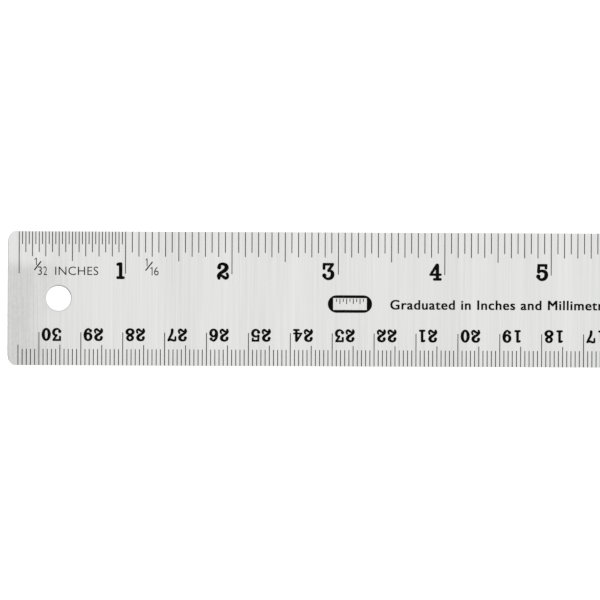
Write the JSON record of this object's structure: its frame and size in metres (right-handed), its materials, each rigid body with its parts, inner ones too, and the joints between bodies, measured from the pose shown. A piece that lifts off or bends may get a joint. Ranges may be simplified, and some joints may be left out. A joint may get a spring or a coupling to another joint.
{
  "type": "steel ruler",
  "caption": "Thin flexible steel ruler with engraved inch and metric graduations on opposite edges, a hanging hole near one end and a cork backing.",
  "frame": {"origin": "middle of the underside of the cork backing, on the surface the ruler lies on", "axes": "+X along the blade away from the hanging hole, +Y towards the edge with the inch scale, +Z out of the graduated face"},
  "size_m": [0.3104, 0.0322, 0.0016],
  "materials": {
    "stainless_steel": "brushed",
    "infill": "satin",
    "adhesive": "satin",
    "cork": "matte"
  },
  "bodies": {
    "root": {"steel_blade": "stainless_steel", "adhesive_film": "adhesive", "cork_backing": "cork"}
  },
  "joints": []
}
